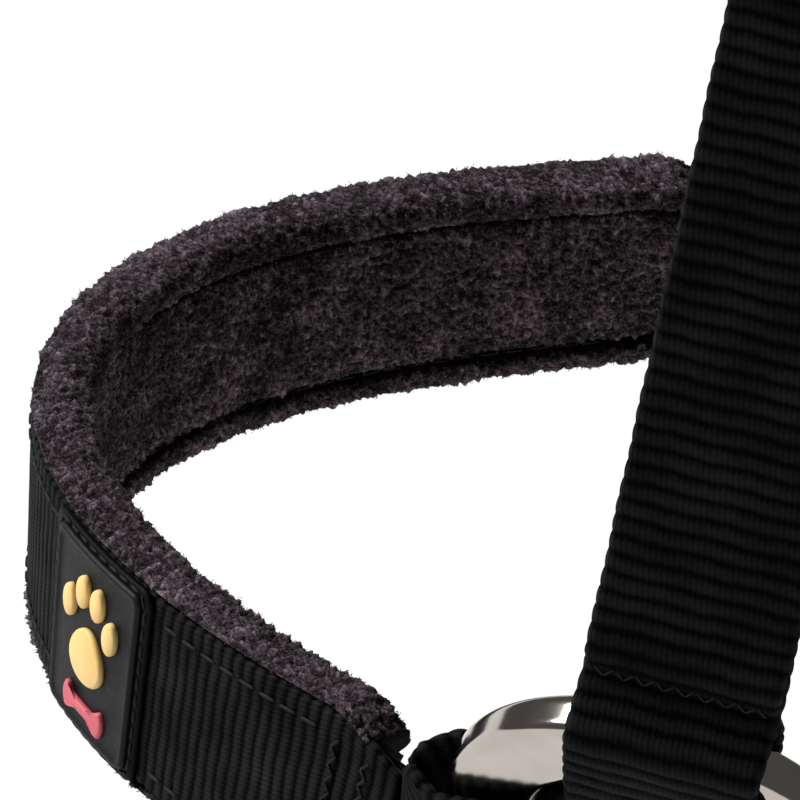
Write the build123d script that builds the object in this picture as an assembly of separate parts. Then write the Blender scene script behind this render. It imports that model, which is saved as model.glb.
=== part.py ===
from build123d import *
from math import cos, radians, sin, sqrt, tanh
import os

os.makedirs("parts", exist_ok=True)

# Driving dimensions, in mm. Origin at the centre of the muzzle opening,
# +Z from the nose towards the ears, +X towards the chin, -Y the dog's left cheek.
WEB_W = 25.0          # noseband webbing width
WEB_T = 1.6           # webbing thickness, every strap
STRAP_W = 21.0        # cheek strap width
NECK_W = 20.0         # neck and chin strap width
GAP = 0.12            # clearance between layers that lie on each other

# Noseband
BEND = 1.139          # final turn of each noseband arm, radians
BEND_LEN = 54.345     # length over which the arm turns
BEND_RATE = 0.00041   # slow extra turn along the arm
TILT0, TILT2 = 0.064, -0.21   # lean of the band at the bridge, change along it
RISE = 4.815          # height gained by each arm at its end
BRIDGE_X = -70.0      # outer face of the band at the bridge of the nose
ARM = 96.0            # half length of the noseband webbing
ARM_TAPER, ARM_END = 8.0, 0.68        # length of the narrowing end, its share of the width
PAD_T = 5.6           # fleece pad thickness
PAD_H = 13.7          # fleece pad half height, with its rolled edges
PAD_END = 91.0        # half length of the fleece pad
PAD_TAPER, PAD_NARROW = 7.0, 0.8      # length of the pad's lower end, its share of the height
FOAM_T, FOAM_H, FOAM_END = 2.7, 10.5, 78.9   # foam strip: thickness, half height, half length
FOAM_BACK = -2.7      # outer side of the foam, from the webbing's outer face
FOAM_FIT = 0.1        # room round the foam

# Label: from s, to s, from u, to u, with s along the band and u up it
LABEL = (-57.2, -36.2, -12.6, 12.7)
PANEL = (-55.9, -38.0, -11.6, 11.8)
FLANGE_TOP, PANEL_TOP, RIM_TOP, RIM_W = 0.75, 1.15, 1.4, 0.8
LABEL_LIFT = 0.08     # gap between the webbing and the label's flange
MARK_BASE, MARK_S, MARK_T = 1.27, -47.0, 0.5   # height, middle and thickness of the marks
PAW = (-1.2, 3.4)     # height on the label and radius of the paw's pad
TOES = ((-4.5, 3.9), (-1.6, 6.6), (1.6, 6.6), (4.5, 3.9))
TOE_SIZE = (1.2, 2.0)
BONE_U, BONE_HALF, BONE_T = -8.2, 3.6, 1.3
KNOB_R, KNOB_APART = 1.0, 0.75

# Cheek rings and the loops round them
RING_C = (22.2, -71.0, 18.2)  # left cheek ring centre
RING_LEAN = radians(27)       # the ring leans outwards at its top
RING_R, RING_A, RING_B = 19.2, 4.8, 2.6   # rod circle, rod half width and half depth
RING_EDGE = 1.5       # rounding of the rod's four edges
CLEAR, CHIN_CLEAR = 0.6, 1.2   # clearance between a ring's rod and the loops round it
TAB_W = 16.0          # width of the short tabs that hold the rings
TAB_AT, CHIN_AT = 258.0, 124.0   # clock angles of the tab and the chin strap on the ring
TAB_ROWS = (-82, -88, -96.6)  # arc lengths of the tab's sections on the noseband
TAB_IN, TAB_OUT = -4.9, -1.85  # inner and outer side of the tab's double layer
TAB_REACH, TAB_HALF = 1.2, 1.5  # overlap of the tab with its loop, half thickness there

# Cheek straps
STRAP_X = 23.3        # middle of the cheek strap where it leaves its ring loop
LEAN_X = 0.063        # how far each cheek strap leans to +X per mm of height
STRAP_RUN = 104.4     # height of the strap's straight run
STRAP_FOOT = RING_R + RING_A + CLEAR + WEB_T + 0.4   # radius at which the strap leaves its loop
STRAP_TOP = (STRAP_X + LEAN_X * STRAP_RUN, -82.6, 146.0)
FOLD_FRONT, FOLD_BACK, FOLD_END = 0.7, 2.4, 0.2   # strap end sewn behind the run, up to FOLD_END
TUNNEL_Y, TUNNEL_T, TUNNEL_H = -80.0, 6.8, 24.6   # fold over the neck strap
SEAM_Y, SEAM_Z, SEAM_T, SEAM_H = -81.75, 147.0, 3.3, 6.0   # where that fold is sewn shut

# Neck strap, buckle, slider and keeper
NECK_CX, NECK_HX, NECK_HY, NECK_R = 28.0, 62.0, 80.0, 34.0   # plan: middle, half sizes, corner
NECK_Z = 160.0        # mid height of the neck strap
NECK_LOW, NECK_HIGH = NECK_Z - NECK_W / 2, NECK_Z + NECK_W / 2
NAPE_X, THROAT_X = NECK_CX - NECK_HX, NECK_CX + NECK_HX
BAR_Y, BAR_T, BAR_L, BAR_H = 25.75, 3.6, 2.4, 26.8   # buckle bars that the webbing goes round
BAR_EYE = (2.1, 1.75)                     # inner half sizes of the webbing's eye on a bar
FOLD_Y, FOLD_L, FOLD_T, FOLD_IN = 37.0, 16.0, 1.7, 1.6   # webbing end sewn inside the neck strap
BUCKLE_X, BUCKLE_H, BUCKLE_D, BUCKLE_R = NAPE_X + 0.8, 30.0, 9.0, 2.4
CROWN = 24.0          # half height of the oval that the buckle's two faces follow
CAVITY_D, CAVITY_H = 5.6, 24.8            # inside of the buckle's female half
FEMALE_Y, FEMALE_L = -7.9, 23.8
MOUTH_Y, MOUTH_L = -6.5, 21.2
WINDOW_Y, WINDOW_L = -8.8, 11.0           # side openings where the catches show
MALE_Y, MALE_L = 12.0, 15.4
SIDE_Y, SIDE_L, SIDE_D, SIDE_H, SIDE_R = 23.3, 7.3, 6.0, 4.1, 1.4   # arms that carry the bars
GRIP_Y, GRIP_L, GRIP_H, GRIP_DEEP = (10.0, 12.9, 15.8), 1.5, 20.0, 0.6   # grooves, male half
DISH_Y, DISH_L = -14.3, 6.0               # shallow dish on the female half
TONGUE_Y, TONGUE_L, TONGUE_D, TONGUE_H = -2.4, 15.0, 3.0, 4.6
PRONG_Z, PRONG_D = 8.4, 4.6               # prong centre line from the strap's middle, its depth
SOCKET_Y, SOCKET_L, SOCKET_H = 6.6, 6.0, 5.2
PRONG_SIDE = ((8.0, -1.6), (8.0, 1.6), (-3.6, 1.6), (-3.9, 5.1), (-7.5, 5.1), (-13.6, 1.2),
              (-13.6, -1.6))
GLIDE_BARS = ((-3.8, 0.0, 1.6, 3.6), (2.2, -7.0, 2.0, 2.6), (2.2, 7.0, 2.0, 2.6))
GLIDE_H = 26.0        # height of the slider's bars
GLIDE_RAIL = (-0.7, 11.9, 7.8, 16.6, 2.4)   # rails: x, height from the middle, three sizes
GLIDE_EYE = (3.8, 1.2, 2.2)               # webbing's eye on the slider: x inwards, half sizes
THROAT_IN = 1.8       # the right neck strap lies this far inside the left one at the throat
KEEPER_X, KEEPER_Y = THROAT_X - 0.9, 22.0
KEEPER_SIZE, KEEPER_HOLE, KEEPER_R = (7.2, 8.0, 24.6), (4.0, 10.0, 20.8), 0.9

# Chin strap, tab and lead ring
CHIN_X, CHIN_Z = 84.0, -12.0  # middle of the chin strap
CHIN_LINE = ((56.5, -60.6, -1.6), (66.5, -52.5, -6.2), (74.5, -41.0, -9.4),
             (80.2, -28.0, -11.2), (83.2, -15.0, CHIN_Z), (CHIN_X, -7.0, CHIN_Z),
             (CHIN_X, 0.0, CHIN_Z))
CHIN_TWIST = 4.0      # sections over which the strap turns from the ring's plane to upright
LEAD_TAB_W = 10.0
EYE_Z, EYE_OUT, EYE_IN = CHIN_Z - 17.4, 5.0, 3.4   # eye of the lead tab: height, radii
LEAD_R, LEAD_ROD = 11.25, 1.75

# Bars of thread
THREAD_R = 0.28
CHEEK_TACK = (0.032, 8.5)                 # place along the strap, half length
NOSE_TACKS = ((-91.5, 8.0), (-87.0, 9.0))
TAB_TACKS = (CHIN_Z - 1.5, CHIN_Z - 7.5)
TAB_TACK_X, TAB_TACK_HALF = CHIN_X + 2.83, 4.0


# ---------------------------------------------------------------- noseband

def arm_curve(s):
    """Plan position and turn of the noseband's outer face at arc length s."""
    n, x, y, a = 200, 0.0, 0.0, abs(s)
    step = a / n
    for i in range(n):
        m = (i + 0.5) * step
        t = BEND * tanh(m / BEND_LEN) + BEND_RATE * m
        x += sin(t) * step
        y += cos(t) * step
    t = BEND * tanh(a / BEND_LEN) + BEND_RATE * a
    k = 1 if s >= 0 else -1
    return x, y * k, t * k


def band_point(s, o, u):
    """Point at arc length s, o outwards from the outer face, u up the band."""
    x, y, t = arm_curve(s)
    nx, ny = -cos(t), sin(t)
    lean = TILT0 + TILT2 * (s / 100) ** 2
    side = o * cos(lean) + u * sin(lean)
    return Vector(BRIDGE_X + x + side * nx, y + side * ny,
                  RISE * (s / 100) ** 2 - o * sin(lean) + u * cos(lean))


def section(points):
    return make_face(Polyline(*points, close=True))


def smooth_loft(rows):
    """Solid lofted smoothly through lists of points that correspond one to one."""
    return loft([section(r) for r in rows])


def straight_loft(rows):
    return loft([section(r) for r in rows], ruled=True)


def band(outline, a, b, n):
    """Solid of constant section that follows the noseband from arc length a to b."""
    stations = [a + (b - a) * i / (n - 1) for i in range(n)]
    return smooth_loft([[band_point(s, o, u) for o, u in outline] for s in stations])


def box_outline(o1, o2, u1, u2):
    return [(o1, u1), (o2, u1), (o2, u2), (o1, u2)]


def tapered(outline, full, end, scale):
    """Band whose height shrinks to scale between arc lengths full and end, at both ends."""
    body = band(outline, -full, full, 23)
    for k in (-1, 1):
        rows = []
        for share in (0.0, 1 / 3, 2 / 3, 1.0):
            shrink = 1 - (1 - scale) * share
            s = k * (full + (end - full) * share)
            rows.append([band_point(s, o, u * shrink) for o, u in outline])
        body += straight_loft(rows)
    return body


def right_side(shape):
    """The same piece on the other cheek."""
    return mirror(shape, Plane.XZ)


def noseband_webbing():
    outline = box_outline(-WEB_T, 0, -WEB_W / 2, WEB_W / 2)
    return tapered(outline, ARM - ARM_TAPER, ARM, ARM_END)


def pad_outline():
    """Section of the pad: a flat back, and an edge rolled up and over the webbing."""
    back, face = -WEB_T - GAP, -WEB_T - GAP - PAD_T
    lip = WEB_W / 2 + 0.15
    upper = [(back, lip), (-0.35, lip + 0.1), (-0.15, lip + 0.4), (-0.8, PAD_H - 0.2),
             (-2.2, PAD_H), (-4.8, PAD_H - 0.1), (face + 0.8, PAD_H - 1.0), (face, PAD_H - 2.6)]
    return upper + [(o, -u) for o, u in reversed(upper)]


def foam_outline(fit):
    return box_outline(FOAM_BACK - FOAM_T - fit, FOAM_BACK + fit, -FOAM_H - fit, FOAM_H + fit)


def noseband_fleece():
    room = band(box_outline(-WEB_T - GAP, 1.0, -WEB_W / 2 - GAP, WEB_W / 2 + GAP), -ARM, ARM, 25)
    pad = tapered(pad_outline(), PAD_END - PAD_TAPER, PAD_END, PAD_NARROW) - room
    core = band(foam_outline(FOAM_FIT), -FOAM_END - FOAM_FIT, FOAM_END + FOAM_FIT, 23)
    pocket = tab_pocket()
    return pad - core - pocket - right_side(pocket)


def noseband_foam():
    return band(foam_outline(0), -FOAM_END, FOAM_END, 23)


# ---------------------------------------------------------------- label

def plate(bottom, top, box, inset=0.0):
    """Layer of the label between two heights over the webbing."""
    s1, s2, u1, u2 = box
    return band(box_outline(bottom, top, u1 + inset, u2 - inset), s1 + inset, s2 - inset, 7)


def noseband_label():
    """Moulded label: a flange sewn flat, a raised panel and a low rim round the panel."""
    overlap = 0.05
    rim = plate(PANEL_TOP - overlap, RIM_TOP, PANEL)
    rim -= plate(PANEL_TOP - 3 * overlap, RIM_TOP + overlap, PANEL, RIM_W)
    return plate(LABEL_LIFT, FLANGE_TOP, LABEL) + plate(FLANGE_TOP - overlap, PANEL_TOP, PANEL) + rim


def on_label(s, u, shape):
    """Put a flat shape, drawn in XY, on the label's face."""
    p = band_point(s, MARK_BASE, u)
    up = band_point(s, MARK_BASE, u + 1) - p
    out = band_point(s, MARK_BASE + 1, u) - p
    return Plane(origin=p, x_dir=up.cross(out), z_dir=out).location * shape


def label_paw():
    u, radius = PAW
    pieces = [on_label(MARK_S, u, extrude(Circle(radius), MARK_T))]
    for ds, u in TOES:
        pieces.append(on_label(MARK_S + ds, u, extrude(Ellipse(*TOE_SIZE), MARK_T)))
    return Compound(pieces)


def label_bone():
    flat = Rectangle(2 * BONE_HALF, BONE_T)
    for x in (-BONE_HALF, BONE_HALF):
        for y in (-KNOB_APART, KNOB_APART):
            flat += Pos(x, y) * Circle(KNOB_R)
    return on_label(MARK_S, BONE_U, extrude(flat, MARK_T))


# ---------------------------------------------------------------- cheek rings, tabs and straps

def ring_place():
    n = (0, -cos(RING_LEAN), -sin(RING_LEAN))
    return Plane(origin=RING_C, x_dir=(1, 0, 0), z_dir=n).location


def ring_point(alpha, r, d=0.0, side=0.0):
    """Point on the ring's plane at clock angle alpha, radius r, d along its normal."""
    a = radians(alpha)
    x = r * sin(a) + side * cos(a)
    v = r * cos(a) - side * sin(a)
    c, s = cos(RING_LEAN), sin(RING_LEAN)
    return Vector(RING_C[0] + x, RING_C[1] - v * s - d * c, RING_C[2] + v * c - d * s)


def cheek_ring():
    """Ring of flat rod with rounded edges."""
    flat = RectangleRounded(2 * RING_A, 2 * RING_B, RING_EDGE)
    return ring_place() * revolve(Plane.XZ * Pos(RING_R, 0) * flat, Axis.Z, 360)


def loop_on_ring(alpha, width, shift=0.0, clear=CLEAR):
    """Straight loop of webbing round the rod, centred at clock angle alpha."""
    half = width / 2 + abs(shift)
    low = sqrt((RING_R - RING_A) ** 2 - half ** 2) - clear
    high = RING_R + RING_A + clear
    depth = 2 * (RING_B + clear)
    outer = Box(width, high - low + 2 * WEB_T, depth + 2 * WEB_T)
    outer = fillet(outer.edges().filter_by(Axis.X), RING_EDGE + clear + WEB_T)
    inner = Box(width + 2, high - low, depth)
    inner = fillet(inner.edges().filter_by(Axis.X), RING_EDGE + clear)
    middle = Pos(shift, (high + low) / 2, 0)
    return ring_place() * (Rot(0, 0, -alpha) * (middle * (outer - inner)))


def ring_tab():
    """Short tab from inside the pad to the ring."""
    outline = box_outline(TAB_IN, TAB_OUT, -TAB_W / 2, TAB_W / 2)
    rows = [[band_point(s, o, u) for o, u in outline] for s in TAB_ROWS]
    reach = RING_R + RING_A + CLEAR + TAB_REACH
    end = [ring_point(TAB_AT, reach, d, w)
           for d, w in box_outline(-TAB_HALF, TAB_HALF, -TAB_W / 2, TAB_W / 2)]
    bridge = straight_loft([rows[-1], end])
    return smooth_loft(rows) + bridge + loop_on_ring(TAB_AT, TAB_W)


def tab_pocket():
    """Room for the tab between the pad and the webbing."""
    half = TAB_W / 2 + 0.2
    outline = box_outline(TAB_IN - 0.15, TAB_OUT + 0.35, -half, half)
    rows = (TAB_ROWS[0] + 0.5, TAB_ROWS[1], -PAD_END - 2)
    return smooth_loft([[band_point(s, o, u) for o, u in outline] for s in rows])


def strap_centre(k):
    """Centre of the left cheek strap's straight run, k from 0 at the ring to 1 at the top."""
    foot = ring_point(0, STRAP_FOOT)
    x, y, z = STRAP_TOP
    return STRAP_X + (x - STRAP_X) * k, foot.Y + (y - foot.Y) * k, foot.Z + (z - foot.Z) * k


def strap_section(k, front, back):
    """Section of the cheek strap between two offsets in Y."""
    x, y, z = strap_centre(k)
    half = STRAP_W / 2
    return [Vector(x - half, y + back, z), Vector(x - half, y + front, z),
            Vector(x + half, y + front, z), Vector(x + half, y + back, z)]


def cheek_strap():
    """Strap from its loop on the ring to the tunnel round the neck strap."""
    half, t = STRAP_W / 2, WEB_T / 2
    shift = STRAP_X - RING_C[0] - 0.4
    neck = RING_R + RING_A + CLEAR + t
    foot = [ring_point(0, neck, d, shift + w) for d, w in box_outline(-t, t, -half, half)]
    front = straight_loft([foot] + [strap_section(k, -t, t) for k in (0.0, 0.5, 1.0)])
    back = straight_loft([strap_section(k, FOLD_FRONT, FOLD_BACK) for k in (-0.01, FOLD_END)])
    body = front + back + loop_on_ring(0, STRAP_W, shift) + strap_tunnel()
    hole = Box(STRAP_W + 2, TUNNEL_T - 2 * WEB_T, TUNNEL_H - 2 * WEB_T)
    return body - Pos(STRAP_TOP[0], TUNNEL_Y, NECK_Z) * hole


def strap_tunnel():
    """The strap's top, folded over the neck strap and sewn shut below it."""
    x = STRAP_TOP[0]
    fold = Pos(x, TUNNEL_Y, NECK_Z) * Box(STRAP_W, TUNNEL_T, TUNNEL_H)
    return fold + Pos(x, SEAM_Y, SEAM_Z) * Box(STRAP_W, SEAM_T, SEAM_H)


# ---------------------------------------------------------------- neck strap

def neck_line(side, y_nape, y_throat, inset=0.0):
    """Centre line of one neck strap in plan, from the nape round to the throat."""
    steps = 18
    turns = [radians(90 * i / steps) for i in range(steps + 1)]
    x1, x2 = NAPE_X, THROAT_X - inset
    r, hy = NECK_R, NECK_HY
    line = [(x1, y_nape)]
    line += [(x1 + r - r * cos(a), side * (hy - r + r * sin(a))) for a in turns]
    line += [(x2 - r + r * sin(a), side * (hy - r + r * cos(a))) for a in turns]
    return line + [(x2, y_throat)]


def ribbon(line, low, high):
    """Strap standing on a plan line."""
    left, right = [], []
    for i, (x, y) in enumerate(line):
        a, b = line[max(i - 1, 0)], line[min(i + 1, len(line) - 1)]
        dx, dy = b[0] - a[0], b[1] - a[1]
        m = sqrt(dx * dx + dy * dy)
        nx, ny = -dy / m * WEB_T / 2, dx / m * WEB_T / 2
        left.append((x + nx, y + ny))
        right.append((x - nx, y - ny))
    return Pos(0, 0, low) * extrude(section(left + right[::-1]), high - low)


def bar_loop(x, y, hx, hy):
    """Webbing wrapped round a bar that runs along Z; hx, hy are the inner half sizes."""
    outer = Box(2 * (hx + WEB_T), 2 * (hy + WEB_T), NECK_W)
    return Pos(x, y, NECK_Z) * (outer - Box(2 * hx, 2 * hy, NECK_W + 2))


def buckle_fold(side):
    """Eye round the buckle's bar and the webbing end sewn back inside the strap."""
    eye = bar_loop(BUCKLE_X, side * BAR_Y, *BAR_EYE)
    return eye + Pos(NAPE_X + FOLD_IN, side * FOLD_Y, NECK_Z) * Box(FOLD_T, FOLD_L, NECK_W)


def neck_strap_left():
    return ribbon(neck_line(-1, -29.0, 38.0), NECK_LOW, NECK_HIGH) + buckle_fold(-1)


def neck_strap_right():
    strap = ribbon(neck_line(1, 29.0, 3.5, THROAT_IN), NECK_LOW, NECK_HIGH)
    inward, hx, hy = GLIDE_EYE
    return strap + buckle_fold(1) + bar_loop(THROAT_X - inward, 0.0, hx, hy)


# ---------------------------------------------------------------- buckle, slider and keeper

def soft_box(x, y, z, r):
    """Box with its four edges along Y rounded."""
    block = Box(x, y, z)
    return fillet(block.edges().filter_by(Axis.Y), r)


def crown(half):
    """Oval bar along the buckle, which gives its two faces their shape."""
    oval = extrude(Plane.XZ * Ellipse(half, CROWN), BUCKLE_H, both=True)
    return Pos(BUCKLE_X, 0, NECK_Z) * oval


def crowned(y, length):
    """Block of the buckle with rounded edges and crowned faces."""
    block = Pos(BUCKLE_X, y, NECK_Z) * soft_box(BUCKLE_D, length, BUCKLE_H, BUCKLE_R)
    return block & crown(BUCKLE_D / 2)


def face_cuts(y, length):
    """Shallow cuts of even depth in the buckle's outer and inner face."""
    return Pos(BUCKLE_X, y, NECK_Z) * Box(BUCKLE_D, length, GRIP_H) - crown(BUCKLE_D / 2 - GRIP_DEEP)


def buckle_end(side):
    """Two arms and the bar that the webbing is folded round."""
    out = Pos(BUCKLE_X, side * BAR_Y, NECK_Z) * Box(BAR_T, BAR_L, BAR_H)
    for k in (-1, 1):
        z = k * (BUCKLE_H - SIDE_H) / 2
        arm = Box(SIDE_D, SIDE_L, SIDE_H)
        corner = max(arm.edges().filter_by(Axis.X), key=lambda e: side * e.center().Y + k * e.center().Z)
        out += Pos(BUCKLE_X, side * SIDE_Y, NECK_Z + z) * fillet(corner, SIDE_R)
    return out


def buckle_female():
    body = crowned(FEMALE_Y, FEMALE_L)
    body -= Pos(BUCKLE_X, MOUTH_Y, NECK_Z) * Box(CAVITY_D, MOUTH_L, CAVITY_H)
    body -= Pos(BUCKLE_X, WINDOW_Y, NECK_Z) * Box(CAVITY_D, WINDOW_L, BUCKLE_H + 2)
    body -= face_cuts(DISH_Y, DISH_L)
    return body + buckle_end(-1)


def buckle_male():
    body = crowned(MALE_Y, MALE_L)
    for k in (-1, 1):
        socket = Box(CAVITY_D, SOCKET_L, SOCKET_H)
        body -= Pos(BUCKLE_X, SOCKET_Y, NECK_Z + k * PRONG_Z) * socket
    for y in GRIP_Y:
        body -= face_cuts(y, GRIP_L)
    body += Pos(BUCKLE_X, TONGUE_Y, NECK_Z) * Box(TONGUE_D, TONGUE_L, TONGUE_H)
    return body + buckle_end(1)


def buckle_prong(k):
    """One springing prong with its catch; k is +1 above, -1 below."""
    face = section([(0, y, NECK_Z + k * (PRONG_Z + h)) for y, h in PRONG_SIDE])
    return Pos(BUCKLE_X - PRONG_D / 2, 0, 0) * extrude(face, PRONG_D, dir=(1, 0, 0))


def tri_glide():
    """Slider frame with one raised middle bar."""
    x, z, depth, length, height = GLIDE_RAIL
    parts = [Pos(THROAT_X + bx, by, NECK_Z) * Box(tx, ty, GLIDE_H) for bx, by, tx, ty in GLIDE_BARS]
    parts += [Pos(THROAT_X + x, 0, NECK_Z + k * z) * Box(depth, length, height) for k in (-1, 1)]
    return parts[0].fuse(*parts[1:])


def strap_keeper():
    ring = soft_box(*KEEPER_SIZE, KEEPER_R) - Box(*KEEPER_HOLE)
    return Pos(KEEPER_X, KEEPER_Y, NECK_Z) * ring


# ---------------------------------------------------------------- chin strap and lead ring

def chin_sections():
    """Sections of the left half of the chin strap, from the ring to the middle."""
    start = ring_point(CHIN_AT, STRAP_FOOT - 0.8)
    line = [start, ring_point(CHIN_AT, STRAP_FOOT + 4.5)] + [Vector(*p) for p in CHIN_LINE]
    wide = (ring_point(CHIN_AT, STRAP_FOOT, 0, -1) - ring_point(CHIN_AT, STRAP_FOOT)).normalized()
    outline = box_outline(-WEB_T / 2, WEB_T / 2, -NECK_W / 2, NECK_W / 2)
    rows = []
    for i, p in enumerate(line):
        k = min(max(i - 1, 0) / CHIN_TWIST, 1.0)
        along = line[min(i + 1, len(line) - 1)] - line[max(i - 1, 0)]
        if i <= 1:
            along = ring_point(CHIN_AT, 1) - ring_point(CHIN_AT, 0)
        if i >= len(line) - 2:
            along = Vector(0, 1, 0)
        across = wide * (1 - k) + Vector(0, 0, 1) * k
        across = (across - along * (across.dot(along) / along.dot(along))).normalized()
        normal = along.cross(across).normalized()
        rows.append([p + normal * d + across * w for d, w in outline])
    return rows


def chin_strap():
    loop = loop_on_ring(CHIN_AT, NECK_W, 0.0, CHIN_CLEAR)
    half = straight_loft(chin_sections()) + loop
    return half + right_side(half)


def across_tab(radius, width):
    return Pos(CHIN_X, 0, EYE_Z) * (Rot(90, 0, 0) * Cylinder(radius, width))


def lead_tab():
    """Narrow webbing folded under the chin strap's edge to hold the lead ring."""
    legs = Pos(CHIN_X, 0, CHIN_Z - 8.0) * Box(2 * EYE_OUT - 5.0, LEAD_TAB_W, 18.0)
    body = across_tab(EYE_OUT, LEAD_TAB_W) + legs - across_tab(EYE_IN, LEAD_TAB_W + 2)
    slit = Box(WEB_T + 2 * GAP, LEAD_TAB_W + 2, NECK_W + 0.3)
    return body - Pos(CHIN_X, 0, CHIN_Z) * slit


def lead_ring():
    z = EYE_Z - LEAD_R
    return Pos(CHIN_X, 0, z) * (Rot(0, 90, 0) * Torus(LEAD_R, LEAD_ROD))


# ---------------------------------------------------------------- thread

def thread(a, b):
    """Straight bar of thread between two points."""
    along = b - a
    bar = Cylinder(THREAD_R, along.length, align=(Align.CENTER, Align.CENTER, Align.MIN))
    return Plane(origin=a, z_dir=along).location * bar


def cheek_tacks():
    """A bar of thread across each cheek strap just above its ring loop."""
    k, half = CHEEK_TACK
    x, y, z = strap_centre(k)
    y -= WEB_T / 2 + THREAD_R + 0.05
    bar = thread(Vector(x - half, y, z), Vector(x + half, y, z))
    return Compound([bar, right_side(bar)])


def noseband_tacks():
    """Bars of thread across the ends of the noseband, through the tabs."""
    lift = THREAD_R + 0.07
    bars = [thread(band_point(s, lift, -half), band_point(s, lift, half)) for s, half in NOSE_TACKS]
    return Compound(bars + [right_side(bar) for bar in bars])


def tab_tacks():
    """Bars of thread across the lead ring's tab."""
    return Compound([thread(Vector(TAB_TACK_X, -TAB_TACK_HALF, z), Vector(TAB_TACK_X, TAB_TACK_HALF, z))
                     for z in TAB_TACKS])


NODES = {
    "noseband_webbing": noseband_webbing, "noseband_fleece": noseband_fleece,
    "noseband_foam": noseband_foam, "noseband_label": noseband_label,
    "label_paw": label_paw, "label_bone": label_bone,
    "ring_tab_left": ring_tab, "ring_tab_right": lambda: right_side(ring_tab()),
    "noseband_tacks": noseband_tacks,
    "cheek_ring_left": cheek_ring, "cheek_ring_right": lambda: right_side(cheek_ring()),
    "cheek_strap_left": cheek_strap, "cheek_strap_right": lambda: right_side(cheek_strap()),
    "cheek_tacks": cheek_tacks,
    "neck_strap_left": neck_strap_left, "neck_strap_right": neck_strap_right,
    "buckle_female": buckle_female, "buckle_male": buckle_male,
    "buckle_prong_upper": lambda: buckle_prong(1),
    "buckle_prong_lower": lambda: buckle_prong(-1),
    "tri_glide": tri_glide, "strap_keeper": strap_keeper,
    "chin_strap": chin_strap, "lead_tab": lead_tab, "tab_tacks": tab_tacks,
    "lead_ring": lead_ring,
}

for name, make in NODES.items():
    shape = make()
    box = shape.bounding_box()
    print(name, round(shape.volume, 1), len(shape.solids()), shape.is_valid,
          [round(v, 1) for v in (*box.min, *box.max)])
    export_step(shape, "parts/" + name + ".step")
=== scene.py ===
"""Looks of a padded dog head halter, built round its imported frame. Metres, same frame as the CAD."""
import math

import bmesh
import bpy
import numpy as np
from mathutils import Matrix, Vector, noise


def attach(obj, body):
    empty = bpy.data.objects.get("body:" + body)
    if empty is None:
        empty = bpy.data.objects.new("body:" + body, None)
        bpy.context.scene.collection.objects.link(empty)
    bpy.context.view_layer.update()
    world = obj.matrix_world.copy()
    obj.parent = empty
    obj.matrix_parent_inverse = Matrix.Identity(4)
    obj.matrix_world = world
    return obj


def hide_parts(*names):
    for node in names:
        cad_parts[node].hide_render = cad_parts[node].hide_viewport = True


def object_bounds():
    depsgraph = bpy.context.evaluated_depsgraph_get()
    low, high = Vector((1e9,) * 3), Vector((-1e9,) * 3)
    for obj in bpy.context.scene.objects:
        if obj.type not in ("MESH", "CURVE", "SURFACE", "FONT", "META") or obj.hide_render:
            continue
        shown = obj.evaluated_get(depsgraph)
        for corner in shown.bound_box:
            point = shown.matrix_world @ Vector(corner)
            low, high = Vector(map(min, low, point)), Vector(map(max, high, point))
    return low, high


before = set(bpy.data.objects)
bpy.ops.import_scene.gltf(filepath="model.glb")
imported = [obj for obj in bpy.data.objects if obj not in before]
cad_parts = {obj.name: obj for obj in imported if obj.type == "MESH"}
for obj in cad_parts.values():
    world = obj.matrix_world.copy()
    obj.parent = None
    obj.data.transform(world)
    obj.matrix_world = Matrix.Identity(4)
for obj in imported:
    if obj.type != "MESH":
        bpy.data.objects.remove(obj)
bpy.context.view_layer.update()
rng = np.random.default_rng(7)
MM = 0.001
X_WAY, Y_WAY, Z_WAY = np.eye(3)
FLIP_Y = np.array([1, -1, 1])

# Sizes in mm; those of straps, rings, pad and label are the CAD model's. Origin at the centre of
# the muzzle opening, +Z from the nose towards the ears, +X to the chin, -Y the left cheek.
# On the noseband, s runs along it from the bridge, o out from its outer face and u up.
WEB_W, WEB_T = 25.0, 1.6         # width of the noseband webbing, thickness of every strap
STRAP_W, NECK_W, TAB_W, LEAD_TAB_W = 21.0, 20.0, 16.0, 10.0

# Webbing's weave
RIB_BAND, RIB_STRAP, RIB_THIN = 1.7, 2.25, 1.9  # rib pitch: noseband, cheek straps, the rest
YARN = 0.62                      # pitch of the yarns along each rib
RIB_H = 0.16                     # rib height on the noseband, neck and chin straps
STRAP_RIB_H, TAB_RIB_H, LEAD_RIB_H = 0.25, 0.15, 0.14
RIB_FULL = 0.75                  # broadens the ribs; this part of them lies in the thickness
RIB_ROOM = 0.12                  # taken off the thickness, because the ribs stand out of it
ROWS_PER_RIB = 8
WANDER_SLOW, WANDER_FINE = 0.05, 0.03  # how far ribs stray, as a share of the pitch
UNEVEN_RIBS, UNEVEN_ALONG = 0.18, 0.12  # difference between ribs, and along one
EDGE_ROUND = 0.8                 # rounding of a strap's two edges
EDGE_FROM, EDGE_SPAN = 0.38, 0.12  # where an edge starts, as a share of the width
EDGE_TOOTH, EDGE_IN, EDGE_WAVE = 0.16, 0.1, 0.05  # how far ribs and gaps shift the edge
EDGE_CROWD = 0.45                # crowds the mesh towards a strap's edges

# Thread
STITCH, STITCH_GAP, THREAD_R = 2.4, 0.8, 0.2  # length, gap and radius of one stitch
STITCH_SHAPE = ((0.0, 0.25), (0.12, 0.85), (0.5, 1.0), (0.88, 0.85), (1.0, 0.25))  # place, size
STITCH_SIDES = 8
NO_STITCH_WAY = (0.31, 0.52, 0.8)  # no stitch lies along it
TACK_H, LOW_TACK_H = 1.1, 1.0    # height of a zigzag bar

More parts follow.
